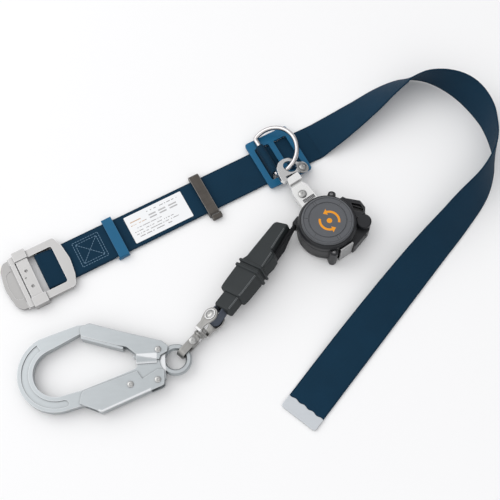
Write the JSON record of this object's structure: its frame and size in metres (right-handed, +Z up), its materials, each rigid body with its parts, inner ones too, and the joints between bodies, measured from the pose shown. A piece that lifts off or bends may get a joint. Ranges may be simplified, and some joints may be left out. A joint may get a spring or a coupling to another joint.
{
  "type": "self retracting lifeline on a work belt",
  "caption": "Work positioning belt laid out with a retracting lifeline reel hung on its D-ring, shock absorber, swivel connector and snap hook with gate and safety lever.",
  "frame": {"origin": "centre of the bounding box in plan, on the lowest point", "axes": "+Z up from the table the belt is laid on, +Y away from the viewer, +X to the viewer's right"},
  "size_m": [0.6398, 0.4838, 0.0514],
  "materials": {
    "navy_webbing": "tight weave, matt",
    "satin_metal": "satin cast surface",
    "bright_steel": "bright pressed steel",
    "zinc_steel": "zinc plated, faintly blue",
    "dark_steel": "plain steel",
    "blue_plastic": "moulded, satin",
    "dark_rubber": "moulded rubber, satin",
    "dark_plastic": "moulded, satin",
    "black_webbing": "tight weave",
    "white_label": "printed film",
    "grey_loop": "moulded",
    "spring_steel": "polished strip"
  },
  "bodies": {
    "belt": {"belt_webbing": "navy_webbing", "belt_tip": "satin_metal", "belt_label": "white_label", "belt_adjuster": "blue_plastic"},
    "buckle": {"buckle_frame": "satin_metal"},
    "lock_bar": {"buckle_slider": "satin_metal"},
    "front_keeper": {"belt_keeper": "blue_plastic"},
    "rear_keeper": {"slide_keeper": "dark_steel"},
    "ring": {"d_ring": "bright_steel"},
    "hanger": {"hanger_link": "bright_steel", "link_rivet": "bright_steel", "swivel_rivet": "bright_steel"},
    "reel": {"frame_plate": "bright_steel", "rear_case": "dark_plastic", "front_case": "dark_plastic", "front_cover": "dark_plastic", "side_housing": "dark_plastic", "exit_guide": "dark_plastic", "drum_shaft": "bright_steel", "spring_cup": "dark_plastic", "main_spring": "spring_steel", "lock_ring": "dark_steel", "case_screw_a": "bright_steel", "case_screw_b": "bright_steel", "lifeline_strap": "black_webbing"},
    "winder": {"drum": "dark_steel", "drum_bush": "dark_steel", "webbing_coil": "black_webbing", "spring_arbor": "bright_steel"},
    "first_pawl": {"pawl_a": "bright_steel"},
    "second_pawl": {"pawl_b": "bright_steel"},
    "absorber": {"absorber_cover": "dark_rubber", "absorber_neck": "dark_rubber", "tear_pack": "black_webbing", "end_loop": "black_webbing", "pin_bush": "grey_loop"},
    "clevis": {"upper_clevis": "dark_steel", "upper_pin": "dark_steel"},
    "swivel": {"swivel_stud": "bright_steel", "eye_shackle": "bright_steel", "shackle_rivet": "bright_steel"},
    "hook": {"hook_body": "zinc_steel", "gate_spring": "spring_steel", "lever_spring": "spring_steel"},
    "gate": {"gate": "zinc_steel", "gate_rivet": "bright_steel"},
    "lever": {"safety_lever": "zinc_steel", "lever_pivot_rivet": "bright_steel", "lever_stop_rivet": "bright_steel"}
  },
  "joints": [
    {"name": "buckle_pivot", "type": "hinge", "parent": "belt", "child": "buckle", "pos_m": [-0.26251, -0.04392, 0.00573], "axis": [0.4772, -0.8788, 0], "range_deg": [0, 20]},
    {"name": "lock_bar_slide", "type": "slide", "parent": "buckle", "child": "lock_bar", "axis": [0.8788, 0.4772, 0], "range_m": [0, 0.006]},
    {"name": "front_keeper_slide", "type": "slide", "parent": "belt", "child": "front_keeper", "axis": [0.8788, 0.4772, 0], "range_m": [-0.05, 0.1]},
    {"name": "rear_keeper_slide", "type": "slide", "parent": "belt", "child": "rear_keeper", "axis": [0.8788, 0.4772, 0], "range_m": [-0.09, 0.055]},
    {"name": "ring_hinge", "type": "hinge", "parent": "belt", "child": "ring", "pos_m": [0.02047, 0.10972, 0.01053], "axis": [0.4772, -0.8788, 0], "range_deg": [0, 50]},
    {"name": "hanger_swing", "type": "hinge", "parent": "ring", "child": "hanger", "pos_m": [0.0464, 0.09704, 0.0173], "axis": [-0.7196, -0.5883, -0.3689], "range_deg": [0, 18]},
    {"name": "reel_swivel", "type": "hinge", "parent": "hanger", "child": "reel", "pos_m": [0.06334, 0.05732, 0.01913], "axis": [0, 0, 1], "range_deg": [-6, 15]},
    {"name": "lifeline_pull", "type": "slide", "parent": "reel", "child": "absorber", "axis": [-0.5793, -0.8151, 0], "range_m": [0, 1.2], "stiffness_N_per_m": 6, "deforming": ["lifeline_strap"]},
    {"name": "drum_spin", "type": "hinge", "parent": "reel", "child": "winder", "pos_m": [0.09244, 0.01061, 0.01913], "axis": [0, 0, 1], "range_deg": [0, 3280]},
    {"name": "pawl_a_swing", "type": "hinge", "parent": "winder", "child": "first_pawl", "pos_m": [0.07706, 0.02178, 0.00813], "axis": [0, 0, -1], "range_deg": [0, 18], "stiffness_Nm_per_rad": 0.0001},
    {"name": "pawl_b_swing", "type": "hinge", "parent": "winder", "child": "second_pawl", "pos_m": [0.10781, -0.00056, 0.00813], "axis": [0, 0, -1], "range_deg": [0, 18], "stiffness_Nm_per_rad": 0.0001},
    {"name": "connector_pivot", "type": "hinge", "parent": "absorber", "child": "clevis", "pos_m": [-0.04813, -0.1079, 0.01513], "axis": [0.4353, -0.2162, -0.8739], "range_deg": [-12, 12]},
    {"name": "connector_swivel", "type": "hinge", "parent": "clevis", "child": "swivel", "pos_m": [-0.04813, -0.1079, 0.01513], "axis": [-0.6547, -0.7424, -0.1425], "continuous": true},
    {"name": "hook_swing", "type": "hinge", "parent": "swivel", "child": "hook", "pos_m": [-0.09336, -0.15889, 0.00963], "axis": [0, 0, 1], "range_deg": [-6, 40]},
    {"name": "gate_open", "type": "hinge", "parent": "hook", "child": "gate", "pos_m": [-0.1149, -0.14767, 0.00963], "axis": [0, 0, 1], "range_deg": [0, 26], "stiffness_Nm_per_rad": 0.05, "springref_deg": -5.73},
    {"name": "lever_press", "type": "hinge", "parent": "hook", "child": "lever", "pos_m": [-0.11352, -0.18466, 0.00963], "axis": [0, 0, -1], "range_deg": [0, 6], "stiffness_Nm_per_rad": 0.1, "springref_deg": -5.73}
  ],
  "couplings": [
    {"joint": "drum_spin", "follows": "lifeline_pull", "rad_per_m": 47.7}
  ]
}
